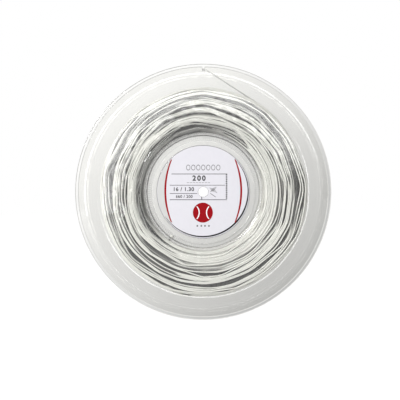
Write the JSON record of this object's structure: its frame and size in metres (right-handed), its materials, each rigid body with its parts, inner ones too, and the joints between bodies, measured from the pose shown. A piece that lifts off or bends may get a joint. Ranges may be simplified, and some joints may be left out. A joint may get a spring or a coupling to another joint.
{
  "type": "string reel",
  "caption": "Clear plastic reel wound with white monofilament racket string: wide flared flanges, a ribbed cup with a paper label on each side, and a central spindle bore.",
  "frame": {"origin": "centre of the spindle bore, halfway between the flanges", "axes": "+Y along the reel's axis, from the front label to the rear one; +Z towards the top of the front label; +X to the right as the front label is read"},
  "size_m": [0.265, 0.024, 0.265],
  "materials": {
    "clear_plastic": "clear moulded polystyrene, polished, with light scuffs",
    "label_paper": "coated printed paper",
    "string": "smooth white co-polyester monofilament"
  },
  "bodies": {
    "root": {"front_flange": "clear_plastic", "rear_flange": "clear_plastic", "hub_barrel": "clear_plastic", "front_label": "label_paper", "rear_label": "label_paper", "string_coil": "string", "string_start": "string", "string_tail": "string"}
  },
  "joints": []
}
